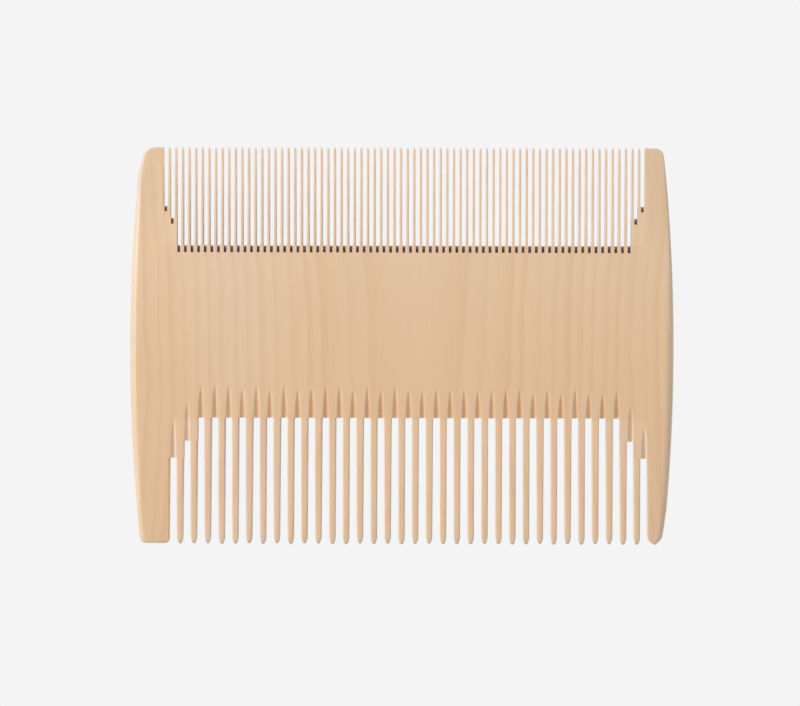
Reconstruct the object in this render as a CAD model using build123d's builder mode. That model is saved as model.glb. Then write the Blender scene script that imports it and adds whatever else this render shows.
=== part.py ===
from build123d import *
import math
import os

# Beard comb sawn out of one board, lying on its back face, in millimetres.
# X runs along the rows of teeth, +Y towards the fine teeth, +Z out of the front face.
# The origin is under the middle of the board, on the surface that it lies on.

# The board
LENGTH = 82.1
HEIGHT = 60.0
THICKNESS = 7.0
TIP_THICKNESS = 2.1
LAND_WIDTH = 14.0
SIDE_ROUNDING = 0.95
TIP_CHAMFER = 0.3

# The bulge of its two sides, and the corners of the two guards, seen from the front
LEFT_BULGE = 1.57
RIGHT_FINE_BULGE = 1.62
RIGHT_COARSE_BULGE = 1.5
FINE_LEFT_CORNER = 2.0
FINE_RIGHT_CORNER = 1.2
COARSE_LEFT_CORNER = 0.4
COARSE_RIGHT_CORNER = 2.0
INNER_CORNER = 0.45
BULLET_INNER_CORNER = 1.6

# Coarse row, towards -Y
COARSE_TEETH = 34
COARSE_PITCH = 2.092
COARSE_KERF = 1.05
COARSE_ROW_CENTRE = 1.05
COARSE_END = 10.85
COARSE_STEPS = [16.9, 14.35]
COARSE_TIP_WIDTH = 0.99
COARSE_NOSE = 0.95
COARSE_TIP_FLAT = 0.5
COARSE_TIP_DEPTH = 0.06
COARSE_SOFTENING = 0.2
HAND_SPACING = 0.03
HAND_TIPS = 0.06

# The V grooves of the pointing wheel, at the end of each coarse slot on both faces
GROOVE_LENGTH_LEFT = 4.9
GROOVE_LENGTH_RIGHT = 3.9
GROOVE_VARIATION = 0.35
GROOVE_STEP_EXTRA = 1.1
GROOVE_DEPTH = 0.55
GROOVE_LEAN = 0.1
GROOVE_OVERRUN = 0.3

# Fine row, towards +Y, whose slots end in a narrow slope left by the rim of the saw's disc
FINE_TEETH = 72
FINE_PITCH = 1.0
FINE_KERF = 0.6
FINE_ROW_CENTRE = 0.28
FINE_END = 15.2
FINE_STEPS = [21.15, 19.35]
GUARD_SEAM_TOP = 19.0
FINE_NOSE = 0.45
FINE_TIP_FLAT = 0.24
SAW_RIM = 0.42
SAW_RADIUS = 30.0
SAW_AHEAD = 5.0

MID = THICKNESS / 2
HALF_X = LENGTH / 2
HALF_Y = HEIGHT / 2
OVERSIZE = 5.0


def hand_variation(i, amount):
    """The small unevenness of hand work, always the same for slot or tooth i."""
    return amount * math.sin(2.4 * i + 1.3 * math.sin(0.9 * i))


def slot_centres(teeth, pitch, row_centre, variation=0.0):
    """X of every slot in a row: one more than there are teeth."""
    first = row_centre - teeth * pitch / 2
    return [first + i * pitch + hand_variation(i, variation) for i in range(teeth + 1)]


def slot_ends(teeth, main_end, steps):
    """How far from the middle line each slot ends, with steps at both ends of the row."""
    ends = [main_end] * (teeth + 1)
    for i, end in enumerate(steps):
        ends[i] = end
        ends[-1 - i] = end
    return ends


def half_thickness(y):
    """Half the board's thickness at y: flat over the land, then an arc to the tips."""
    run = HALF_Y - LAND_WIDTH / 2
    drop = (THICKNESS - TIP_THICKNESS) / 2
    radius = (run**2 + drop**2) / (2 * drop)
    past_land = max(0.0, abs(y) - LAND_WIDTH / 2)
    return MID - radius + math.sqrt(radius**2 - past_land**2)


def row_border(slots, ends, kerf, side):
    """Corners of the line where the spine meets a row, from left to right."""
    corners = [(slots[0] - kerf / 2, side * ends[0])]
    for i in range(1, len(slots)):
        if ends[i] < ends[i - 1]:
            wall = slots[i] - kerf / 2
        elif ends[i] > ends[i - 1]:
            wall = slots[i - 1] + kerf / 2
        else:
            continue
        corners += [(wall, side * ends[i - 1]), (wall, side * ends[i])]
    return corners + [(slots[-1] + kerf / 2, side * ends[-1])]


COARSE_SLOTS = slot_centres(COARSE_TEETH, COARSE_PITCH, COARSE_ROW_CENTRE, HAND_SPACING)
COARSE_ENDS = slot_ends(COARSE_TEETH, COARSE_END, COARSE_STEPS)
FINE_SLOTS = slot_centres(FINE_TEETH, FINE_PITCH, FINE_ROW_CENTRE)
FINE_ENDS = slot_ends(FINE_TEETH, FINE_END, FINE_STEPS)

os.makedirs("parts", exist_ok=True)

# Section of the board across the teeth, the same all along X
with BuildSketch(Plane.YZ) as section:
    with BuildLine():
        land = Line((0, THICKNESS), (LAND_WIDTH / 2, THICKNESS))
        taper = TangentArc(land @ 1, (HALF_Y, MID + TIP_THICKNESS / 2), tangent=(1, 0))
        Line(taper @ 1, (HALF_Y, MID))
        mirror(about=Plane.XZ.offset(-MID))
        mirror(about=Plane.YZ)
    make_face()

# Plan of the board: two bulging sides and two straight ends
left_end = -HALF_X + LEFT_BULGE
right_fine_end = HALF_X - RIGHT_FINE_BULGE
right_coarse_end = HALF_X - RIGHT_COARSE_BULGE
with BuildSketch() as plan:
    with BuildLine():
        ThreePointArc((left_end, -HALF_Y), (-HALF_X, 0), (left_end, HALF_Y))
        Line((left_end, HALF_Y), (right_fine_end, HALF_Y))
        ThreePointArc((right_fine_end, HALF_Y), (HALF_X, 0), (right_coarse_end, -HALF_Y))
        Line((right_coarse_end, -HALF_Y), (left_end, -HALF_Y))
    make_face()

# The same plan with its outer corners rounded
outer_corners = [
    ((left_end, HALF_Y), FINE_LEFT_CORNER),
    ((right_fine_end, HALF_Y), FINE_RIGHT_CORNER),
    ((left_end, -HALF_Y), COARSE_LEFT_CORNER),
    ((right_coarse_end, -HALF_Y), COARSE_RIGHT_CORNER),
]
with BuildSketch() as rounded_plan:
    add(plan.sketch)
    for corner, radius in outer_corners:
        fillet(rounded_plan.vertices().sort_by_distance(corner)[0], radius)

# The shaped board before sawing: its side edges are rounded, its tips broken
with BuildPart() as board:
    extrude(plan.sketch, amount=THICKNESS)
    extrude(section.sketch, amount=HALF_X + OVERSIZE, both=True, mode=Mode.INTERSECT)
    side_walls = board.faces().filter_by(lambda face: abs(face.normal_at().X) > 0.9)
    fillet(side_walls.edges().filter_by(Axis.Z, reverse=True), SIDE_ROUNDING)
    tip_edges = board.edges().filter_by(Axis.X)
    chamfer(tip_edges.group_by(Axis.Y)[0] + tip_edges.group_by(Axis.Y)[-1], TIP_CHAMFER)
    extrude(rounded_plan.sketch, amount=THICKNESS, mode=Mode.INTERSECT)

# Where the guards meet the spine: beside the outermost slots, and a slant between them
fine_border = row_border(FINE_SLOTS, FINE_ENDS, FINE_KERF, 1)
coarse_border = row_border(COARSE_SLOTS, COARSE_ENDS, COARSE_KERF, -1)

# The wide guard at the left end
with BuildPart() as left_guard:
    add(board.part)
    with BuildSketch() as left_zone:
        with BuildLine():
            Polyline(
                (-HALF_X - OVERSIZE, HALF_Y),
                (fine_border[0][0], HALF_Y),
                (fine_border[0][0], GUARD_SEAM_TOP),
                coarse_border[0],
                (coarse_border[0][0], -HALF_Y),
                (-HALF_X - OVERSIZE, -HALF_Y),
                close=True,
            )
        make_face()
        inner_corner = left_zone.vertices().sort_by_distance((coarse_border[0][0], -HALF_Y))
        fillet(inner_corner[0], INNER_CORNER)
    extrude(amount=THICKNESS, mode=Mode.INTERSECT)
left_guard.part.label = "left_guard"
export_step(left_guard.part, "parts/left_guard.step")

# The narrow guard at the right end, with a bullet nose beside the coarse teeth
with BuildPart() as right_guard:
    add(board.part)
    with BuildSketch() as right_zone:
        with BuildLine():
            Polyline(
                (HALF_X + OVERSIZE, HALF_Y),
                (fine_border[-1][0], HALF_Y),
                (fine_border[-1][0], GUARD_SEAM_TOP),
                coarse_border[-1],
                (coarse_border[-1][0], -HALF_Y),
                (HALF_X + OVERSIZE, -HALF_Y),
                close=True,
            )
        make_face()
        inner_corner = right_zone.vertices().sort_by_distance((coarse_border[-1][0], -HALF_Y))
        fillet(inner_corner[0], BULLET_INNER_CORNER)
    extrude(amount=THICKNESS, mode=Mode.INTERSECT)
right_guard.part.label = "right_guard"
export_step(right_guard.part, "parts/right_guard.step")


def groove_length(i):
    """Length of the V groove at coarse slot i: longer to the left and at the steps."""
    taper = (GROOVE_LENGTH_RIGHT - GROOVE_LENGTH_LEFT) * i / COARSE_TEETH
    step = GROOVE_STEP_EXTRA if COARSE_ENDS[i] > COARSE_END else 0.0
    return GROOVE_LENGTH_LEFT + taper + step + hand_variation(i, GROOVE_VARIATION)


def groove_plane(i):
    """Plane across the V groove at the end of coarse slot i, facing along its bottom."""
    end = COARSE_ENDS[i]
    length = groove_length(i)
    middle = COARSE_SLOTS[i] + GROOVE_LEAN
    start = Vector(middle, -end, MID + half_thickness(end) - GROOVE_DEPTH)
    apex = Vector(COARSE_SLOTS[i], length - end, MID + half_thickness(end - length))
    along = (apex - start).normalized()
    return Plane(start - along * GROOVE_OVERRUN, x_dir=(1, 0, 0), z_dir=along)


def saw_plane(i):
    """Plane of the left side of the saw's rim in fine slot i, centred on the disc."""
    back = MID - half_thickness(FINE_ENDS[i])
    centre_z = MID + SAW_AHEAD
    centre_y = FINE_ENDS[i] + math.sqrt(SAW_RADIUS**2 - (centre_z - back) ** 2)
    left_wall = FINE_SLOTS[i] - SAW_RIM / 2
    return Plane((left_wall, centre_y, centre_z), x_dir=(0, 1, 0), z_dir=(1, 0, 0))


# The V grooves of the front face and the back face
with BuildPart() as grooves:
    with BuildSketch(*[groove_plane(i) for i in range(len(COARSE_SLOTS))]):
        with BuildLine():
            Polyline(
                (0, 0),
                (COARSE_KERF - 2 * GROOVE_LEAN, -2 * GROOVE_DEPTH),
                (-COARSE_KERF - 2 * GROOVE_LEAN, -2 * GROOVE_DEPTH),
                close=True,
            )
        make_face()
    extrude(amount=GROOVE_LENGTH_LEFT + GROOVE_STEP_EXTRA + OVERSIZE)
    mirror(about=Plane.XY.offset(MID))

# The spine between the two rows, with the grooves and the sloping ends of the fine slots
with BuildPart() as spine:
    with BuildSketch():
        with BuildLine():
            Polyline(
                *fine_border,
                (fine_border[-1][0], GUARD_SEAM_TOP),
                *reversed(coarse_border),
                (fine_border[0][0], GUARD_SEAM_TOP),
                close=True,
            )
        make_face()
    extrude(amount=THICKNESS)
    extrude(section.sketch, amount=HALF_X + OVERSIZE, both=True, mode=Mode.INTERSECT)
    add(grooves.part, mode=Mode.SUBTRACT)
    with BuildSketch(*[saw_plane(i) for i in range(len(FINE_SLOTS))]):
        Circle(SAW_RADIUS)
    extrude(amount=SAW_RIM, mode=Mode.SUBTRACT)
spine.part.label = "spine"
export_step(spine.part, "parts/spine.step")


def tooth_outline(width, tip_width, root, nose, tip, tip_flat):
    """Lines round one tooth that points along +Y: a slight taper, then two arcs to its tip."""
    taper = Line((width / 2, root), (tip_width / 2, tip - nose))
    point = TangentArc(taper @ 1, (tip_flat / 2, tip), tangent=taper % 1)
    Line(point @ 1, (0, tip))
    Line((0, root), (width / 2, root))
    mirror(about=Plane.YZ)


# The coarse teeth, each a node of its own, with softened long edges
for i in range(COARSE_TEETH):
    left = COARSE_SLOTS[i] + COARSE_KERF / 2
    right = COARSE_SLOTS[i + 1] - COARSE_KERF / 2
    root = max(COARSE_ENDS[i], COARSE_ENDS[i + 1])
    tip = HALF_Y - COARSE_TIP_DEPTH + hand_variation(i, HAND_TIPS)
    seat = Plane(((left + right) / 2, 0, 0), x_dir=(-1, 0, 0), z_dir=(0, 0, 1))
    with BuildPart() as coarse_tooth:
        with BuildSketch(seat):
            with BuildLine():
                tooth_outline(
                    width=right - left,
                    tip_width=COARSE_TIP_WIDTH,
                    root=root,
                    nose=COARSE_NOSE,
                    tip=tip,
                    tip_flat=COARSE_TIP_FLAT,
                )
            make_face()
        extrude(amount=THICKNESS)
        extrude(section.sketch, amount=HALF_X + OVERSIZE, both=True, mode=Mode.INTERSECT)
        edges = coarse_tooth.edges().filter_by(Axis.Z, reverse=True)
        long_edges = edges.filter_by(lambda edge: edge.length > 2 * COARSE_NOSE)
        fillet(long_edges, COARSE_SOFTENING)
    name = f"coarse_tooth_{i + 1:02d}"
    coarse_tooth.part.label = name
    export_step(coarse_tooth.part, f"parts/{name}.step")

# The fine teeth, too many for a node each, side by side in one node
with BuildPart() as fine_teeth:
    for i in range(FINE_TEETH):
        root = max(FINE_ENDS[i], FINE_ENDS[i + 1])
        with BuildSketch(Plane((FINE_SLOTS[i] + FINE_PITCH / 2, 0, 0))):
            with BuildLine():
                tooth_outline(
                    width=FINE_PITCH - FINE_KERF,
                    tip_width=FINE_PITCH - FINE_KERF,
                    root=root,
                    nose=FINE_NOSE,
                    tip=HALF_Y,
                    tip_flat=FINE_TIP_FLAT,
                )
            make_face()
    extrude(amount=THICKNESS)
    extrude(section.sketch, amount=HALF_X + OVERSIZE, both=True, mode=Mode.INTERSECT)
fine_teeth.part.label = "fine_teeth"
export_step(fine_teeth.part, "parts/fine_teeth.step")
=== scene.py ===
"""Beard comb, seen from straight above on a pale surface.

The pieces are worked out in millimetres in the frame's own axes: X along the rows of teeth,
+Y towards the fine teeth, +Z out of the front face. They become metres when a mesh is made.
"""

import math
from collections import namedtuple

import bmesh
import bpy
import numpy as np
from mathutils import Matrix, Vector


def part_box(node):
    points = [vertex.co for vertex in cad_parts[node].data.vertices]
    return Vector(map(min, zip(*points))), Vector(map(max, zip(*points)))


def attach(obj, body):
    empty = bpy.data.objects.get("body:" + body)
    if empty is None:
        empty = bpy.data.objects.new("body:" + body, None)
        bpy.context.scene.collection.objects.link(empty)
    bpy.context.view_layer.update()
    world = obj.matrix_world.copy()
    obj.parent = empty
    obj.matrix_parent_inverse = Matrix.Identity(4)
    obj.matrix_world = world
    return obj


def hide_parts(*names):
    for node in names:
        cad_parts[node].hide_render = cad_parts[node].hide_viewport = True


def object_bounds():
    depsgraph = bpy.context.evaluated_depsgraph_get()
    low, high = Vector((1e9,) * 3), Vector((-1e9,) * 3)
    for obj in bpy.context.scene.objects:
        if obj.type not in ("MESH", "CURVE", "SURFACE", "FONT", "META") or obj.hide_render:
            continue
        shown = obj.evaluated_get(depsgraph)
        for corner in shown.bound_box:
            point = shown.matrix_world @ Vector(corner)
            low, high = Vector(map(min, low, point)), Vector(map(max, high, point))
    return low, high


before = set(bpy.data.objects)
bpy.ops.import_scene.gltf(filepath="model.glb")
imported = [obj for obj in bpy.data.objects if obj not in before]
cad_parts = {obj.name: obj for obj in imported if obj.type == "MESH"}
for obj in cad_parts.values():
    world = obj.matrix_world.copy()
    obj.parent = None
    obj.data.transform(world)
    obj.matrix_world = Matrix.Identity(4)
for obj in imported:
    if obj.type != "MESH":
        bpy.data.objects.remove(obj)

CAD_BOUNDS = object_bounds()
MM = 0.001

# ---------------------------------------------------------------- the board
LOW = np.array(CAD_BOUNDS[0]) / MM
HIGH = np.array(CAD_BOUNDS[1]) / MM
HALF_Y = (HIGH[1] - LOW[1]) / 2
THICKNESS = HIGH[2] - LOW[2]
MID = THICKNESS / 2
TIP_THICKNESS = 2.1
LAND_HALF = 7.0
LEFT_BULGE = 1.57
RIGHT_FINE_BULGE = 1.62
RIGHT_COARSE_BULGE = 1.5

# ---------------------------------------------------------------- the rows of teeth
COARSE_TEETH = 34
COARSE_KERF = 1.05
COARSE_END = 10.85
COARSE_TIP_WIDTH = 0.99
FINE_TEETH = 72
FINE_KERF = 0.6
FINE_STEPS = [21.15, 19.35]
FINE_END = 15.2
SEAM_TOP = 19.0
SAW_RIM = 0.42
SAW_RADIUS = 30.0
SAW_AHEAD = 5.0
COARSE_ROOT_ROUNDING = 0.12
COARSE_TIP_ROUNDING = 0.25
FINE_ROUNDING = 0.1

# The V grooves. Each one's middle is shifted from its slot, and its bottom leans from its middle.
GROOVE_DEPTH = 0.55
GROOVE_HALF_WIDTH = 0.44
GROOVE_SHIFT = 0.08
GROOVE_LEAN = 0.08
GROOVE_SOFTNESS = 0.14
GROOVE_LENGTH_LEFT = 4.9
GROOVE_LENGTH_RIGHT = 3.9
GROOVE_VARIATION = 0.35
GROOVE_STEP_EXTRA = 1.1

# Powers by which a groove's depth fades along it, and by which its width follows its depth
GROOVE_ARCH = 1.7
GROOVE_SPREAD = 0.4

# Turns of phase, in radians, that make the rhythm of hand work irregular
HAND_TURN = 2.4
HAND_SWING = 1.3
HAND_SLOW_TURN = 0.9

coarse_boxes = [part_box(f"coarse_tooth_{i + 1:02d}") for i in range(COARSE_TEETH)]
coarse_left = np.array([low.x for low, high in coarse_boxes]) / MM
coarse_right = np.array([high.x for low, high in coarse_boxes]) / MM
coarse_root = np.array([high.y for low, high in coarse_boxes]) / MM
coarse_tip = np.array([low.y for low, high in coarse_boxes]) / MM
COARSE_SLOTS = np.append(coarse_left - COARSE_KERF / 2, coarse_right[-1] + COARSE_KERF / 2)
COARSE_ENDS = np.full(COARSE_TEETH + 1, COARSE_END)
COARSE_ENDS[:2] = -coarse_root[:2]
COARSE_ENDS[-2:] = -coarse_root[-2:]

fine_low, fine_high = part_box("fine_teeth")
FINE_PITCH = ((fine_high.x - fine_low.x) / MM + FINE_KERF) / FINE_TEETH
FINE_SLOTS = fine_low.x / MM - FINE_KERF / 2 + FINE_PITCH * np.arange(FINE_TEETH + 1)
FINE_ENDS = np.full(FINE_TEETH + 1, FINE_END)
FINE_ENDS[:2] = FINE_STEPS
FINE_ENDS[-2:] = FINE_STEPS[::-1]


def hand_variation(i, amount):
    """The small unevenness of hand work, always the same for slot i."""
    return amount * np.sin(HAND_TURN * i + HAND_SWING * np.sin(HAND_SLOW_TURN * i))


def half_thickness(y):
    """Half the board's thickness at y: flat over the land, then an arc to the tips."""
    run = HALF_Y - LAND_HALF
    drop = (THICKNESS - TIP_THICKNESS) / 2
    radius = (run**2 + drop**2) / (2 * drop)
    past_land = np.maximum(0.0, np.abs(y) - LAND_HALF)
    return MID - radius + np.sqrt(radius**2 - past_land**2)


def groove_length(i):
    """Length of the V groove at coarse slot i: longer to the left and at the steps."""
    taper = (GROOVE_LENGTH_RIGHT - GROOVE_LENGTH_LEFT) * i / COARSE_TEETH
    step = np.where(COARSE_ENDS[i] > COARSE_END, GROOVE_STEP_EXTRA, 0.0)
    return GROOVE_LENGTH_LEFT + taper + step + hand_variation(i, GROOVE_VARIATION)


def groove_share(i, y):
    """How much of the V groove's full section is left at y, above coarse slot i."""
    past_end = np.clip((y + COARSE_ENDS[i]) / groove_length(i), 0.0, 1.0)
    return 1.0 - past_end**GROOVE_ARCH


def groove_depth(x, y):
    """Depth of the V grooves below the board's surface, with softened arrises."""
    nearest = np.abs(x[..., None] - COARSE_SLOTS).argmin(-1)
    share = groove_share(nearest, y)
    spread = share**GROOVE_SPREAD
    offset = x - COARSE_SLOTS[nearest] - GROOVE_SHIFT - GROOVE_LEAN * spread
    flank = (GROOVE_HALF_WIDTH - np.sign(offset) * GROOVE_LEAN) * spread
    ratio = np.abs(offset) / np.maximum(flank, 1e-6)
    arris = np.clip(1 + GROOVE_SOFTNESS - ratio, 0.0, None) ** 2 / (4 * GROOVE_SOFTNESS)
    return GROOVE_DEPTH * share * np.where(ratio < 1 - GROOVE_SOFTNESS, 1 - ratio, arris)


def rounded(distance, radius):
    """How far a rounded edge has fallen back at a distance from its corner."""
    inside = np.clip(radius - distance, 0.0, radius)
    return radius - np.sqrt(radius**2 - inside**2)


def coarse_rounding(y):
    """Radius of the sanded edges in the coarse row: wider towards the tips."""
    along = np.clip((-y - COARSE_END) / (HALF_Y - COARSE_END), 0.0, 1.0)
    return COARSE_ROOT_ROUNDING + (COARSE_TIP_ROUNDING - COARSE_ROOT_ROUNDING) * along


def fine_rounding(y):
    """Radius of the sanded edges in the fine row: the same at every y."""
    return FINE_ROUNDING


# ---------------------------------------------------------------- mesh tools
SMOOTH_ANGLE = 32.0
WELD_DISTANCE = 2e-7
SLIVER_LENGTH = 1e-7


def make_piece(name, verts, faces, nodes, materials, face_materials=None):
    """A closed mesh in metres that rides on the comb and stands for its CAD nodes."""
    mesh = bpy.data.meshes.new(name)
    mesh.from_pydata((np.asarray(verts) * MM).tolist(), [], faces)
    if face_materials is not None:
        mesh.polygons.foreach_set("material_index", face_materials)
    work = bmesh.new()
    work.from_mesh(mesh)
    bmesh.ops.remove_doubles(work, verts=work.verts, dist=WELD_DISTANCE)
    bmesh.ops.dissolve_degenerate(work, edges=work.edges, dist=SLIVER_LENGTH)
    bmesh.ops.recalc_face_normals(work, faces=work.faces)
    work.to_mesh(mesh)
    work.free()
    mesh.shade_smooth()
    mesh.set_sharp_from_angle(angle=math.radians(SMOOTH_ANGLE))
    piece = bpy.data.objects.new(name, mesh)
    bpy.context.scene.collection.objects.link(piece)
    for material in materials:
        mesh.materials.append(material)
    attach(piece, "root")
    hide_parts(*nodes)


def loft(rings, first_vertex=0):
    """Faces of a closed tube through rings of equally many points, capped at both ends."""
    stations, count = rings.shape[:2]
    index = first_vertex + np.arange(stations * count).reshape(stations, count)
    after = np.roll(index, -1, axis=1)
    sides = np.stack([index[:-1], after[:-1], after[1:], index[1:]], axis=-1).reshape(-1, 4)
    return sides.tolist() + [index[0][::-1].tolist(), index[-1].tolist()]


def ring_at(y, x, rise):
    """One closed ring at y, from points x across the top and their rise above the middle."""
    top = np.stack([x, np.full_like(x, y), MID + rise], axis=-1)
    bottom = np.stack([x, np.full_like(x, y), MID - rise], axis=-1)
    return np.concatenate([top, bottom[::-1]])


def crowded_at_both(start, stop, count):
    """Values from start to stop that crowd together towards both."""
    return start + (stop - start) * (1 - np.cos(np.pi * np.linspace(0.0, 1.0, count))) / 2


def crowded_at_stop(start, stop, count):
    """Values from start to stop that crowd together towards stop."""
    return start + (stop - start) * np.sin(np.pi * np.linspace(0.0, 1.0, count) / 2)


# ---------------------------------------------------------------- the teeth
# How far the last ring stays from the end of a tooth or guard, so that its cap has some width
END_GAP = 0.02

# The shape of a tooth's point: how much it narrows, how fast, how blunt it is, and how much it thins
POINT_NARROWING = 0.52
POINT_POWER = 1.15
POINT_BLUNTNESS = 8
TIP_THINNING = 0.75

# The largest rounding of a tooth's edges, as shares of its half width and half thickness
ARRIS_PER_HALF_WIDTH = 0.95
ARRIS_PER_HALF = 0.9


def tooth_rings(left, right, root, tip, tip_width, nose, rounding, tip_depth):
    """Rings of one tooth from its root to its bullet-shaped tip."""
    direction = np.sign(tip - root)
    shoulder = tip - direction * nose
    straight = np.linspace(root, shoulder, 22)
    point = crowded_at_stop(shoulder, tip - direction * END_GAP, 14)
    angle = np.linspace(np.pi / 2, 0.0, 6)
    rings = []
    for y in np.append(straight, point[1:]):
        along = min((y - root) / (shoulder - root), 1.0)
        past = np.clip(direction * (y - shoulder) / nose, 0.0, 1.0)
        bullet = (1 - POINT_NARROWING * past**POINT_POWER) * np.sqrt(1 - past**POINT_BLUNTNESS)
        half_width = bullet * (right - left + (tip_width - right + left) * along) / 2
        past_tip = np.clip(direction * (y - tip) / tip_depth + 1, 0.0, 1.0)
        half = half_thickness(y) * (1 - TIP_THINNING * (1 - np.sqrt(1 - past_tip**2)))
        radius = min(rounding(y), ARRIS_PER_HALF_WIDTH * half_width)
        inset = radius * (1 - np.sin(angle))
        drop = min(radius, ARRIS_PER_HALF * half) * (1 - np.cos(angle))
        x = np.concatenate([inset - half_width, [0.0], (half_width - inset)[::-1]])
        fall = np.concatenate([drop, [0.0], drop[::-1]])
        rings.append(ring_at(y, (left + right) / 2 + x, half - fall))
    return np.array(rings)


def build_teeth(name, teeth, nodes, materials):
    """One mesh of separate closed teeth."""
    verts, faces = [], []
    for rings in teeth:
        faces += loft(rings, sum(len(part) for part in verts))
        verts.append(rings.reshape(-1, 3))
    make_piece(name, np.concatenate(verts), faces, nodes, materials)


def coarse_teeth(materials):
    teeth = [
        tooth_rings(
            coarse_left[i], coarse_right[i], coarse_root[i], coarse_tip[i],
            COARSE_TIP_WIDTH, nose=0.95, rounding=coarse_rounding, tip_depth=0.9,
        )
        for i in range(COARSE_TEETH)
    ]
    nodes = [f"coarse_tooth_{i + 1:02d}" for i in range(COARSE_TEETH)]
    build_teeth("coarse_teeth", teeth, nodes, materials)


def fine_teeth(materials):
    width = FINE_PITCH - FINE_KERF
    teeth = [
        tooth_rings(
            FINE_SLOTS[i] + FINE_KERF / 2, FINE_SLOTS[i] + FINE_KERF / 2 + width,
            max(FINE_ENDS[i], FINE_ENDS[i + 1]), HALF_Y,
            width, nose=0.45, rounding=fine_rounding, tip_depth=0.35,
        )
        for i in range(FINE_TEETH)
    ]
    build_teeth("fine_teeth", teeth, ["fine_teeth"], materials)


# ---------------------------------------------------------------- the guards
# The rounding of a side in mid-length, and by how much it falls towards the coarse end, at what power
SIDE_ROUNDING = 1.15
COARSE_FADE = (0.35, 2.5)

# The largest rounding, and how far it may go down, as shares of the guard's width and half thickness
ROUNDING_PER_WIDTH = 0.42
ROUNDING_PER_HALF = 0.8

SHAVE_POWER = 1.3
FINE_INNER_CORNER = 0.12
FINE_BEVEL = 0.3
BEVEL_DEPTH_SHARE = 0.75
LEAST_HALF_THICKNESS = 0.05

# Distances of the lengthwise lines nearest a guard's slot, and how many more lines cross its face
NEAR_SLOT = np.array([0.0, 0.01, 0.04, 0.08, 0.13, 0.19, 0.26, 0.38])
FACE_LINES = 6

GuardEnd = namedtuple("GuardEnd", "outer_corner inner_corner bevel shave_length shave")


def seam_x(y, side):
    """X of the line where a guard meets the slots and the spine. side is -1 or 1."""
    slot = 0 if side < 0 else -1
    fine = FINE_SLOTS[slot] + side * FINE_KERF / 2
    coarse = COARSE_SLOTS[slot] + side * COARSE_KERF / 2
    share = np.clip((SEAM_TOP - y) / (SEAM_TOP + COARSE_ENDS[slot]), 0.0, 1.0)
    return fine + (coarse - fine) * share


def side_x(y, side):
    """X of the outer side of a guard: one shallow arc, a little aslant on the right."""
    fine_bulge = LEFT_BULGE if side < 0 else RIGHT_FINE_BULGE
    coarse_bulge = LEFT_BULGE if side < 0 else RIGHT_COARSE_BULGE
    bulge = (fine_bulge + coarse_bulge) / 2
    slant = (fine_bulge - coarse_bulge) / 2 * y / HALF_Y
    radius = (HALF_Y**2 + bulge**2) / (2 * bulge)
    return side * (HIGH[0] - radius + np.sqrt(radius**2 - y**2) - slant)


def shaved(from_end, length, amount):
    """How far a side is sanded in before its corner, at a distance from the guard's end."""
    return amount * np.clip(1 - from_end / length, 0.0, 1.0) ** SHAVE_POWER


def guard_stations(short):
    """Places along Y of a guard's rings, from its coarse end to its fine end."""
    coarse_part = crowded_at_both(-HALF_Y + short + END_GAP, -COARSE_ENDS[0], 40)
    middle_part = np.linspace(-COARSE_ENDS[0], FINE_STEPS[0], 90)
    fine_part = crowded_at_both(FINE_STEPS[0], HALF_Y - END_GAP, 34)
    return np.concatenate([coarse_part, middle_part[1:], fine_part[1:]])


def slot_edge_fall(x, y):
    """How far a guard's face falls near its slots: at a groove, or at a sanded edge."""
    distance = np.abs(x - x[0])
    if y < -COARSE_ENDS[0]:
        return rounded(distance, coarse_rounding(y))
    if y > FINE_STEPS[0]:
        return rounded(distance, fine_rounding(y))
    return groove_depth(x, np.full_like(x, y))


def guard(name, side, fine_end, coarse_end, fine_fade, short, materials):
    """One guard, lofted from its coarse end, which falls a little short, to its fine end."""
    angle = np.linspace(0.0, np.pi / 2, 9)
    rings = []
    for y in guard_stations(short):
        from_end = HALF_Y - abs(y) - (short if y < 0 else 0.0)
        end = fine_end if y > 0 else coarse_end
        sanded_in = rounded(from_end, end.outer_corner)
        sanded_in += shaved(from_end, end.shave_length, end.shave)
        inner = seam_x(y, side) + side * rounded(from_end, end.inner_corner)
        outer = side_x(y, side) - side * sanded_in
        fade, power = COARSE_FADE if y < 0 else fine_fade
        rounding = SIDE_ROUNDING - fade * abs(y / HALF_Y) ** power
        rounding = min(rounding, ROUNDING_PER_WIDTH * abs(outer - inner))
        half = half_thickness(y) - BEVEL_DEPTH_SHARE * rounded(from_end, end.bevel)
        near_x = inner + side * NEAR_SLOT
        far_x = outer - side * rounding * (1 - np.sin(angle))
        face_x = np.linspace(near_x[-1], far_x[0], FACE_LINES + 2)[1:-1]
        side_fall = min(rounding, ROUNDING_PER_HALF * half) * (1 - np.cos(angle))
        x = np.concatenate([near_x, face_x, far_x])
        fall = np.concatenate([slot_edge_fall(near_x, y), np.zeros(FACE_LINES), side_fall])
        ring = ring_at(y, x, np.maximum(half - fall, LEAST_HALF_THICKNESS))
        rings.append(ring if side < 0 else ring[::-1])
    rings = np.array(rings)
    make_piece(name, rings.reshape(-1, 3), loft(rings), [name], materials)


def left_guard(materials):
    fine_end = GuardEnd(1.5, FINE_INNER_CORNER, FINE_BEVEL, shave_length=4.2, shave=0.62)
    coarse_end = GuardEnd(0.7, 0.75, 0.4, shave_length=2.0, shave=0.0)
    guard("left_guard", -1, fine_end, coarse_end, (0.8, 2.5), 0.14, materials)


def right_guard(materials):
    fine_end = GuardEnd(1.2, FINE_INNER_CORNER, FINE_BEVEL, shave_length=4.2, shave=0.05)
    coarse_end = GuardEnd(1.4, 1.4, 0.5, shave_length=5.9, shave=0.3)
    guard("right_guard", 1, fine_end, coarse_end, (1.0, 0.8), 0.09, materials)


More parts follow.
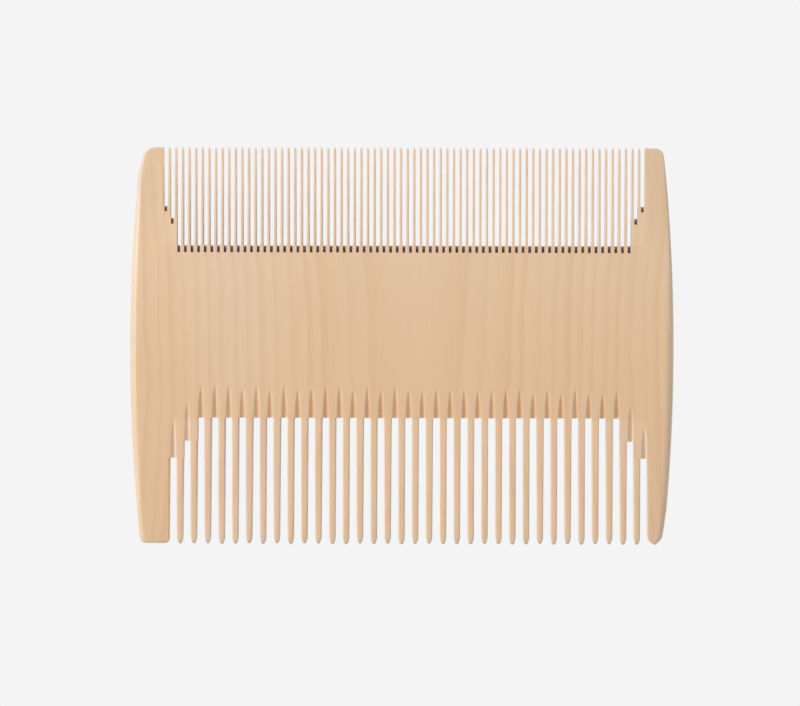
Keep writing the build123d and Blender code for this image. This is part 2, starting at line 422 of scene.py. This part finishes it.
# ---------------------------------------------------------------- the spine
# The spine is two grids of cells, for its coarse and its fine side, joined between these rows
LAST_COARSE_ROW = -4.5
FIRST_FINE_ROW = 6.5

# Lines along a groove, as shares of its flank, and the least share of its section they follow
GROOVE_LINES = np.array([0.3, 0.55, 0.78, 1.0, 1.22, 1.45])
LEAST_GROOVE = 0.08

# Where the front end of a saw slope is looked for, and how deep a cell of it lies at least
SLOPE_SEARCH = 1.6
LEAST_SLOPE_DEPTH = 0.1


def border(x, slots, ends, kerf):
    """How far from the middle line the spine reaches at x, on one row's side."""
    reach = np.full(x.shape, ends[len(ends) // 2])
    for i in (1, 0):
        reach = np.where(x < slots[i + 1] - kerf / 2, ends[i], reach)
        reach = np.where(x > slots[-2 - i] + kerf / 2, ends[i], reach)
    return reach


def within_seams(x, y):
    """Keeps columns of the spine between its two seams with the guards."""
    return np.clip(x, seam_x(y, -1)[:, None], seam_x(y, 1)[:, None])


def coarse_grid():
    """Rows and columns of the spine's coarse side. The columns follow each V groove."""
    rows = np.concatenate(
        [
            np.linspace(-COARSE_ENDS[0], -COARSE_ENDS[1], 10)[:-1],
            np.linspace(-COARSE_ENDS[1], -COARSE_END, 14)[:-1],
            np.linspace(-COARSE_END, LAST_COARSE_ROW, 34),
        ]
    )
    columns = []
    for i, slot in enumerate(COARSE_SLOTS):
        share = np.maximum(groove_share(i, rows), LEAST_GROOVE)[:, None] ** GROOVE_SPREAD
        bottom = slot + GROOVE_SHIFT + GROOVE_LEAN * share
        left_flank = (GROOVE_HALF_WIDTH + GROOVE_LEAN) * share * GROOVE_LINES[::-1]
        right_flank = (GROOVE_HALF_WIDTH - GROOVE_LEAN) * share * GROOVE_LINES
        near = np.concatenate([bottom - left_flank, bottom, bottom + right_flank], axis=1)
        if i > 0:
            edge = np.full((len(rows), 1), (COARSE_SLOTS[i - 1] + slot) / 2)
            columns.append((columns[-1][:, -1:] + edge) / 2)
            columns.append(edge)
            columns.append((edge + near[:, :1]) / 2)
        columns.append(near)
    left, right = seam_x(rows, -1)[:, None], seam_x(rows, 1)[:, None]
    x = within_seams(np.concatenate([left, *columns, right], axis=1), rows)
    y = np.repeat(rows[:, None], x.shape[1], axis=1)
    rise = half_thickness(y) - groove_depth(x, y)
    middle_x = (x[:-1, :-1] + x[1:, 1:]) / 2
    middle_y = (y[:-1, :-1] + y[1:, 1:]) / 2
    inside = middle_y > -border(middle_x, COARSE_SLOTS, COARSE_ENDS, COARSE_KERF)
    return x, y, MID + rise, MID - rise, inside, np.zeros_like(inside, dtype=int)


def saw_floor(i, y):
    """Height of the sloping floor that the saw's disc leaves at the end of fine slot i."""
    centre_z = MID + SAW_AHEAD
    back = MID - half_thickness(FINE_ENDS[i])
    centre_y = FINE_ENDS[i] + np.sqrt(SAW_RADIUS**2 - (centre_z - back) ** 2)
    inside = np.maximum(SAW_RADIUS**2 - (centre_y - y) ** 2, 0.0)
    return np.where(inside > 0, centre_z - np.sqrt(inside), THICKNESS)


def floor_front(i):
    """Where the floor of fine slot i comes out at the front face."""
    y = np.linspace(FINE_ENDS[i] - SLOPE_SEARCH, FINE_ENDS[i], 801)
    return y[np.argmax(saw_floor(i, y) < MID + half_thickness(y))]


def fine_grid():
    """Rows and columns of the spine's fine side, with the floor of every slot."""
    fronts = [floor_front(i) for i in (FINE_TEETH // 2, 1, 0)]
    rows = np.concatenate(
        [
            [FIRST_FINE_ROW],
            np.linspace(LAND_HALF, fronts[0], 11)[:-1],
            np.linspace(fronts[0], FINE_END, 12)[:-1],
            np.linspace(FINE_END, fronts[1], 7)[:-1],
            np.linspace(fronts[1], FINE_STEPS[1], 10)[:-1],
            np.linspace(FINE_STEPS[1], fronts[2], 3)[:-1],
            np.linspace(fronts[2], FINE_STEPS[0], 10),
        ]
    )
    surface = MID + half_thickness(rows)
    columns, heights, reach, scorched = [], [], [], []
    for i, slot in enumerate(FINE_SLOTS):
        floor = np.minimum(saw_floor(i, rows), surface)
        floor = np.maximum(floor, MID - half_thickness(rows))
        left, right = slot - SAW_RIM / 2, slot + SAW_RIM / 2
        columns += [slot - FINE_KERF / 2, left, left, slot, right, right, slot + FINE_KERF / 2]
        heights += [surface, surface, floor, floor, floor, surface, surface]
        reach += [FINE_ENDS[i]] * 6
        scorched += [0, 0, 1, 1, 0, 0]
        if i < FINE_TEETH:
            columns.append(slot + FINE_PITCH / 2)
            heights.append(surface)
            reach += [max(FINE_ENDS[i], FINE_ENDS[i + 1])] * 2
            scorched += [0, 0]
    x = within_seams(np.repeat(np.array(columns)[None], len(rows), axis=0), rows)
    left, right = seam_x(rows, -1)[:, None], seam_x(rows, 1)[:, None]
    x = np.concatenate([left, x, right], axis=1)
    top = np.stack([surface, *heights, surface], axis=1)
    reach = np.array([FINE_ENDS[0], *reach, FINE_ENDS[0]])
    scorched = np.array([0, *scorched, 0])
    y = np.repeat(rows[:, None], x.shape[1], axis=1)
    inside = (y[:-1, :-1] + y[1:, :-1]) / 2 < reach
    face_height = (surface[:-1] + surface[1:])[:, None] / 2
    below = (top[:-1, :-1] + top[1:, 1:]) / 2 < face_height - LEAST_SLOPE_DEPTH
    marks = np.where(below & (scorched == 1), 1, 0)
    return x, y, top, MID - half_thickness(y), inside, marks


def shell(grid, first_vertex):
    """Top, bottom and side faces of a solid over the marked cells of a grid."""
    x, y, top, bottom, inside, marks = grid
    rows, columns = x.shape
    verts = np.concatenate(
        [np.stack([x, y, z], axis=-1).reshape(-1, 3) for z in (top, bottom)]
    )
    up = first_vertex + np.arange(rows * columns).reshape(rows, columns)
    down = up + rows * columns
    faces, materials = [], []
    for j, k in np.argwhere(inside):
        faces.append([up[j, k], up[j, k + 1], up[j + 1, k + 1], up[j + 1, k]])
        faces.append([down[j, k], down[j + 1, k], down[j + 1, k + 1], down[j, k + 1]])
        materials += [marks[j, k], 0]
    return verts, faces, materials, up, down


def side_walls(up, down, inside, open_row):
    """Quads from top to bottom round the marked cells, but not along the open row."""
    padded = np.pad(inside, 1)
    walls = []
    for j, k in np.argwhere(inside):
        corners = [(j, k), (j, k + 1), (j + 1, k + 1), (j + 1, k)]
        beyond = [padded[j, k + 1], padded[j + 1, k + 2], padded[j + 2, k + 1], padded[j + 1, k]]
        for side in range(4):
            a, b = corners[side], corners[(side + 1) % 4]
            if beyond[side] or (a[0] == b[0] == open_row):
                continue
            walls.append([up[b], up[a], down[a], down[b]])
    return walls


def zip_rows(lower, upper, verts):
    """Triangles between two rows of vertices with different spacing along X."""
    i, k, triangles = 0, 0, []
    while i < len(lower) - 1 or k < len(upper) - 1:
        ahead = k == len(upper) - 1 or (
            i < len(lower) - 1 and verts[lower[i + 1]][0] <= verts[upper[k + 1]][0]
        )
        if ahead:
            triangles.append([lower[i], lower[i + 1], upper[k]])
            i += 1
        else:
            triangles.append([lower[i], upper[k + 1], upper[k]])
            k += 1
    return triangles


def spine(materials):
    coarse, fine = coarse_grid(), fine_grid()
    verts_a, faces_a, marks_a, up_a, down_a = shell(coarse, 0)
    verts_b, faces_b, marks_b, up_b, down_b = shell(fine, len(verts_a))
    verts = np.concatenate([verts_a, verts_b])
    faces = faces_a + faces_b
    marks = marks_a + marks_b
    plain = side_walls(up_a, down_a, coarse[4], len(up_a) - 1)
    plain += side_walls(up_b, down_b, fine[4], 0)
    plain += zip_rows(up_a[-1], up_b[0], verts)
    plain += [face[::-1] for face in zip_rows(down_a[-1], down_b[0], verts)]
    plain.append([up_a[-1, 0], up_b[0, 0], down_b[0, 0], down_a[-1, 0]])
    plain.append([up_b[0, -1], up_a[-1, -1], down_a[-1, -1], down_b[0, -1]])
    faces = [[int(v) for v in face] for face in faces + plain]
    marks = [int(m) for m in marks] + [0] * len(plain)
    make_piece("spine", verts, faces, ["spine"], materials, marks)


# ---------------------------------------------------------------- materials
FACE_COLOUR = (0.800, 0.560, 0.360)
RING_COLOUR = (0.760, 0.500, 0.285)
# Painted light: the slot walls are painted this pale colour, for the light that passes through the
# thin teeth and comes up from the floor
WALL_PAINTED_LIGHT_COLOUR = (1.0, 0.90, 0.84)
SCORCH_COLOUR = (0.36, 0.125, 0.050)
SINGED_COLOUR = (0.50, 0.20, 0.09)

# Factors on the board's colour, in its red, green and blue
ROW_TINT = (1.04, 1.05, 1.10)
# Painted sheen: the whitening of sanded, tilted edges stands for the reflection they show
EDGE_PAINTED_SHEEN_TINT = (1.0, 1.13, 1.34)
STREAK_TINT = (1.0, 1.03, 1.09)
COARSE_SIDE_TINT = (0.985, 0.945, 0.885)

RING_CENTRE_X = 2.0
RING_DEPTH = 22.0
RING_SPACING = 1.55
RING_TAPER = 0.0103
RING_WANDER = 3.0
RING_UNEVENNESS = 0.7

# Places along X and Y between which one share passes softly into another
GUARD_BAND = (36.6, 37.4)
GUARD_END_BAND = (12.0, 24.0)
STREAK_LEFT_BAND = (-34.0, -28.0)
STREAK_RIGHT_BAND = (-15.0, -22.0)
DRIFT_BAND = (16.0, -12.0)
OUTER_WALL_BAND = (HIGH[0] - 3.2, HIGH[0] - 3.8)
ROW_SOFTNESS = 0.2
TOOTH_SOFTNESS = 0.6
WALL_SOFTNESS = 0.4

# Steepness of a surface, as parts of its normal, from which it counts as a sanded edge with painted
# sheen, a wall with painted light, or end grain
SANDED_BAND = (0.995, 0.88)
WALL_BAND = (0.75, 0.95)
END_GRAIN_BAND = (0.45, 0.95)

END_GRAIN_DARKNESS = 0.16
# Painted shade: the guards' fine ends, sloping away from the light, are darkened by this share
GUARD_END_PAINTED_SHADE = 0.05
COARSE_WALL_SHARE = 0.6
WOOD_ROUGHNESS = 0.26
SCORCHED_ROUGHNESS = 0.62


class Nodes:
    """A material's node tree, with short calls that add a node and link what feeds it."""

    def __init__(self, name):
        self.material = bpy.data.materials.new(name)
        self.material.use_nodes = True
        self.tree = self.material.node_tree
        self.shader = self.tree.nodes["Principled BSDF"]

    def feed(self, socket, value):
        """Links a socket to another node's output, or sets its value."""
        if isinstance(value, bpy.types.NodeSocket):
            self.tree.links.new(value, socket)
        else:
            socket.default_value = value

    def add(self, kind, inputs=(), **settings):
        node = self.tree.nodes.new(kind)
        for key, value in settings.items():
            setattr(node, key, value)
        for key, value in dict(inputs).items():
            self.feed(node.inputs[key], value)
        return node

    def math(self, operation, a, b=0.0, c=0.0):
        return self.add("ShaderNodeMath", {0: a, 1: b, 2: c}, operation=operation).outputs[0]

    def size(self, value):
        """The value without its sign."""
        return self.math("ABSOLUTE", value)

    def scaled(self, vector, scale):
        """The vector or colour with each of its components scaled."""
        inputs = {0: vector, 1: scale}
        return self.add("ShaderNodeVectorMath", inputs, operation="MULTIPLY").outputs[0]

    def noise(self, vector, detail=2.0, roughness=0.5):
        inputs = {"Vector": vector, "Scale": 1.0, "Detail": detail, "Roughness": roughness}
        return self.add("ShaderNodeTexNoise", inputs).outputs["Fac"]

    def band(self, value, low, high):
        """0 below low, 1 above high, and smooth between them."""
        inputs = {"Value": value, "From Min": low, "From Max": high}
        return self.add("ShaderNodeMapRange", inputs, interpolation_type="SMOOTHSTEP").outputs[0]

    def tinted(self, share, colour, factors):
        """The colour, with a share of it scaled by a factor for each channel."""
        return self.mix(share, colour, self.scaled(colour, factors))

    def mix(self, share, a, b):
        node = self.add("ShaderNodeMix", data_type="RGBA")
        self.feed(node.inputs["Factor"], share)
        for socket, value in ((node.inputs[6], a), (node.inputs[7], b)):
            self.feed(socket, (*value, 1.0) if isinstance(value, tuple) else value)
        return node.outputs[2]

    def shade(self, colour, amount):
        """The colour made lighter or darker by a factor."""
        scale = self.add("ShaderNodeVectorMath", operation="SCALE")
        self.feed(scale.inputs[0], colour)
        self.feed(scale.inputs["Scale"], amount)
        return scale.outputs[0]


def growth_rings(n, place, axes):
    """Late wood of the growth rings: shallow cones about the heart of the tree, below the board."""
    wander = n.noise(n.scaled(place, (0.05, 0.035, 0.05)), detail=3.0)
    across = n.math("SUBTRACT", axes["X"], RING_CENTRE_X)
    across = n.math("ADD", across, n.math("MULTIPLY_ADD", wander, RING_WANDER, -RING_WANDER / 2))
    tilt = n.math("MULTIPLY", axes["Y"], -RING_TAPER)
    depth = n.math("ADD", n.math("ADD", axes["Z"], RING_DEPTH - THICKNESS), tilt)
    squares = n.math("ADD", n.math("POWER", across, 2.0), n.math("POWER", depth, 2.0))
    radius = n.math("SQRT", squares)
    count = n.math("DIVIDE", n.math("SUBTRACT", radius, RING_DEPTH), RING_SPACING)
    line = {"W": radius, "Scale": 0.55, "Detail": 1.0}
    uneven = n.add("ShaderNodeTexNoise", line, noise_dimensions="1D").outputs["Fac"]
    count = n.math("ADD", count, n.math("MULTIPLY", uneven, RING_UNEVENNESS))
    phase = n.math("FRACT", count)
    late = n.math("MULTIPLY", n.band(phase, 0.35, 0.86), n.band(phase, 1.0, 0.93))
    number = {"W": n.math("FLOOR", count)}
    which = n.add("ShaderNodeTexWhiteNoise", number, noise_dimensions="1D").outputs["Value"]
    return n.math("MULTIPLY", late, n.math("MULTIPLY_ADD", which, 0.7, 0.3))


def plain_wood(n, place, facing, ring, fibre):
    """Rings, fibres along the grain, short flecks across it, and slow changes of tone."""
    fleck = n.band(n.noise(n.scaled(place, (1.1, 7.0, 1.1))), 0.56, 0.74)
    tone = n.noise(n.scaled(place, (0.12, 0.06, 0.12)))
    colour = n.mix(n.math("MULTIPLY", ring, 0.75), FACE_COLOUR, RING_COLOUR)
    light = n.math("MULTIPLY_ADD", fibre, 0.10, 0.95)
    light = n.math("MULTIPLY_ADD", fleck, -0.022, light)
    light = n.math("MULTIPLY", light, n.math("MULTIPLY_ADD", tone, 0.06, 0.97))
    end_grain = n.band(n.size(facing["Y"]), *END_GRAIN_BAND)
    light = n.math("MULTIPLY", light, n.math("MULTIPLY_ADD", end_grain, -END_GRAIN_DARKNESS, 1.0))
    return n.shade(colour, light)


def among_teeth(n, axes, slots, kerf, end, direction):
    """1 among the teeth of the row that lies in a direction along Y, 0 on the rest of the comb."""
    middle = float(slots[0] + slots[-1]) / 2
    half_length = float(slots[-1] - slots[0] + kerf) / 2
    off_middle = n.size(n.math("SUBTRACT", axes["X"], middle))
    along_row = n.band(off_middle, half_length + ROW_SOFTNESS, half_length - ROW_SOFTNESS)
    start, stop = direction * (end - ROW_SOFTNESS), direction * (end + TOOTH_SOFTNESS)
    return n.math("MULTIPLY", along_row, n.band(axes["Y"], start, stop))


def tints_sheen_and_shade(n, axes, facing, colour):
    """Teeth and a streak are a little paler, the sanded sides and edges are whitened as a painted
    sheen, and the guards' fine ends are darkened as painted shade.
    """
    in_fine_row = among_teeth(n, axes, FINE_SLOTS, FINE_KERF, FINE_END, 1)
    in_coarse_row = among_teeth(n, axes, COARSE_SLOTS, COARSE_KERF, COARSE_END, -1)
    in_rows = n.math("MAXIMUM", in_fine_row, in_coarse_row)
    at_sides = n.band(n.size(axes["X"]), *GUARD_BAND)
    sanded = n.band(n.size(facing["Z"]), *SANDED_BAND)
    sanded = n.math("MULTIPLY", sanded, n.math("MAXIMUM", at_sides, in_rows))
    guard_end_shade = n.math("MULTIPLY", at_sides, n.band(axes["Y"], *GUARD_END_BAND))
    from_left = n.band(axes["X"], *STREAK_LEFT_BAND)
    streak = n.math("MULTIPLY", from_left, n.band(axes["X"], *STREAK_RIGHT_BAND))
    colour = n.tinted(in_rows, colour, ROW_TINT)
    # Painted sheen on the sanded, tilted edges
    colour = n.tinted(sanded, colour, EDGE_PAINTED_SHEEN_TINT)
    # Painted shade on the guards' fine ends
    colour = n.shade(colour, n.math("MULTIPLY_ADD", guard_end_shade, -GUARD_END_PAINTED_SHADE, 1.0))
    return n.tinted(streak, colour, STREAK_TINT)


def scorched_colour(n, place, fibre, colour):
    """Wood browned by the saw, unevenly."""
    soot = n.noise(n.scaled(place, (2.4, 2.4, 2.4)), detail=3.0)
    burnt = n.mix(soot, SCORCH_COLOUR, SINGED_COLOUR)
    burnt = n.shade(burnt, n.math("MULTIPLY_ADD", fibre, 0.5, 0.75))
    return n.mix(n.math("MULTIPLY_ADD", soot, 0.1, 0.88), colour, burnt)


def wall_light_and_drift(n, axes, facing, colour):
    """Painted light: the walls inside the slots are painted pale, for the light that reaches them
    through the thin teeth and from the floor; and a drift to yellower wood towards the coarse teeth.
    """
    wall = n.band(n.size(facing["X"]), *WALL_BAND)
    wall = n.math("MULTIPLY", wall, n.band(n.size(axes["X"]), *OUTER_WALL_BAND))
    in_fine = n.band(axes["Y"], FINE_END - WALL_SOFTNESS, FINE_END)
    in_coarse = n.band(axes["Y"], WALL_SOFTNESS - COARSE_END, -COARSE_END)
    in_row = n.math("MAXIMUM", in_fine, n.math("MULTIPLY", in_coarse, COARSE_WALL_SHARE))
    # Painted light on the slot walls
    colour = n.mix(n.math("MULTIPLY", wall, in_row), colour, WALL_PAINTED_LIGHT_COLOUR)
    return n.tinted(n.band(axes["Y"], *DRIFT_BAND), colour, COARSE_SIDE_TINT)


def wood_material(name, scorched=False):
    """Pale close-grained wood with its grain along Y, the same all through the comb."""
    n = Nodes(name)
    place = n.scaled(n.add("ShaderNodeTexCoord").outputs["Object"], (1 / MM, 1 / MM, 1 / MM))
    axes = n.add("ShaderNodeSeparateXYZ", {"Vector": place}).outputs
    normal = n.add("ShaderNodeNewGeometry").outputs["Normal"]
    facing = n.add("ShaderNodeSeparateXYZ", {"Vector": normal}).outputs
    ring = growth_rings(n, place, axes)
    fibre = n.noise(n.scaled(place, (5.5, 0.22, 5.5)), detail=3.0, roughness=0.6)
    colour = tints_sheen_and_shade(n, axes, facing, plain_wood(n, place, facing, ring, fibre))
    if scorched:
        colour = scorched_colour(n, place, fibre, colour)
    else:
        colour = wall_light_and_drift(n, axes, facing, colour)
    smoothest = SCORCHED_ROUGHNESS if scorched else WOOD_ROUGHNESS
    relief = n.math("ADD", n.math("MULTIPLY", fibre, 0.7), n.math("MULTIPLY", ring, 0.3))
    bump = n.add("ShaderNodeBump", {"Strength": 0.12, "Distance": 0.00004, "Height": relief})
    n.feed(n.shader.inputs["Base Color"], colour)
    n.feed(n.shader.inputs["Roughness"], n.math("MULTIPLY_ADD", fibre, 0.14, smoothest))
    n.feed(n.shader.inputs["Normal"], bump.outputs["Normal"])
    n.shader.inputs["Sheen Weight"].default_value = 0.25
    n.shader.inputs["Sheen Roughness"].default_value = 0.5
    return n.material


# ---------------------------------------------------------------- camera, light and floor
VIEW_WIDTH = 120.75
VIEW_CENTRE = Vector((-0.26, -1.03, THICKNESS)) * MM
CAMERA_PLACE = Vector((14.0, -1.0, 1600.0)) * MM
CAMERA_ROLL = 0.14
SENSOR_WIDTH = 36.0
PALE = 0.905

# The key light and the floor, in metres and watts
KEY_PLACE = (-0.62, 0.22, 0.62)
KEY_SIZE = 0.45
KEY_POWER = 4.0
FLOOR_REACH = 40.0
FLOOR_GAP = 0.00002

# The sky's light: its level, and how much it grows along each axis
SKY_LEVEL = 0.40
SKY_LEAN = (-0.24, 0.10, 0.33)


def make_camera():
    """A long lens nearly straight above the comb, a little to the right of its middle."""
    data = bpy.data.cameras.new("camera")
    camera = bpy.data.objects.new("camera", data)
    bpy.context.scene.collection.objects.link(camera)
    bpy.context.scene.camera = camera
    sight = VIEW_CENTRE - CAMERA_PLACE
    right = sight.cross(Vector((0, 1, 0))).normalized()
    up = right.cross(sight).normalized()
    turn = Matrix((right, up, -sight.normalized())).transposed()
    camera.location = CAMERA_PLACE
    roll = Matrix.Rotation(math.radians(CAMERA_ROLL), 3, "Z")
    camera.rotation_euler = (turn @ roll).to_euler()
    data.sensor_width = SENSOR_WIDTH
    data.lens = SENSOR_WIDTH * sight.length / (VIEW_WIDTH * MM)
    data.clip_start = 0.01
    data.clip_end = 100.0


def make_area_light(name, place, size, power):
    """A square soft light that points at the comb."""
    data = bpy.data.lights.new(name, "AREA")
    data.shape = "SQUARE"
    data.size = size
    data.energy = power
    light = bpy.data.objects.new(name, data)
    bpy.context.scene.collection.objects.link(light)
    light.location = place
    light.rotation_euler = (-Vector(place)).to_track_quat("-Z", "Y").to_euler()
    light.visible_camera = False


def make_world():
    """Even pale surroundings to the eye, whose light is stronger from the left."""
    world = bpy.data.worlds.new("studio")
    bpy.context.scene.world = world
    world.use_nodes = True
    tree = world.node_tree
    lighting = tree.nodes["Background"]
    direction = tree.nodes.new("ShaderNodeTexCoord")
    lean = tree.nodes.new("ShaderNodeVectorMath")
    level = tree.nodes.new("ShaderNodeMath")
    seen = tree.nodes.new("ShaderNodeBackground")
    path = tree.nodes.new("ShaderNodeLightPath")
    either = tree.nodes.new("ShaderNodeMixShader")
    lean.operation = "DOT_PRODUCT"
    lean.inputs[1].default_value = SKY_LEAN
    level.inputs[1].default_value = SKY_LEVEL
    tree.links.new(direction.outputs["Generated"], lean.inputs[0])
    tree.links.new(lean.outputs["Value"], level.inputs[0])
    tree.links.new(level.outputs[0], lighting.inputs["Strength"])
    lighting.inputs["Color"].default_value = (1.0, 1.0, 1.0, 1.0)
    seen.inputs["Color"].default_value = (PALE, PALE, PALE, 1.0)
    tree.links.new(path.outputs["Is Camera Ray"], either.inputs[0])
    tree.links.new(lighting.outputs[0], either.inputs[1])
    tree.links.new(seen.outputs[0], either.inputs[2])
    tree.links.new(either.outputs[0], tree.nodes["World Output"].inputs["Surface"])


def make_floor():
    """A wide pale floor that glows evenly, as a light table does."""
    mesh = bpy.data.meshes.new("floor")
    far = FLOOR_REACH
    corners = [(-far, -far, 0), (far, -far, 0), (far, far, 0), (-far, far, 0)]
    mesh.from_pydata(corners, [], [(0, 1, 2, 3)])
    floor = bpy.data.objects.new("floor", mesh)
    bpy.context.scene.collection.objects.link(floor)
    floor.location.z = LOW[2] * MM - FLOOR_GAP
    n = Nodes("pale_floor")
    n.shader.inputs["Base Color"].default_value = (0.0, 0.0, 0.0, 1.0)
    n.shader.inputs["Roughness"].default_value = 1.0
    n.shader.inputs["Specular IOR Level"].default_value = 0.0
    n.shader.inputs["Emission Color"].default_value = (PALE, PALE, PALE, 1.0)
    n.shader.inputs["Emission Strength"].default_value = 1.0
    mesh.materials.append(n.material)


make_camera()
bpy.context.scene.view_settings.view_transform = "Standard"
make_world()
make_area_light("key", KEY_PLACE, KEY_SIZE, KEY_POWER)
make_floor()

wood = wood_material("wood")
scorched_wood = wood_material("scorched_wood", scorched=True)
spine([wood, scorched_wood])
left_guard([wood])
right_guard([wood])
coarse_teeth([wood])
fine_teeth([wood])
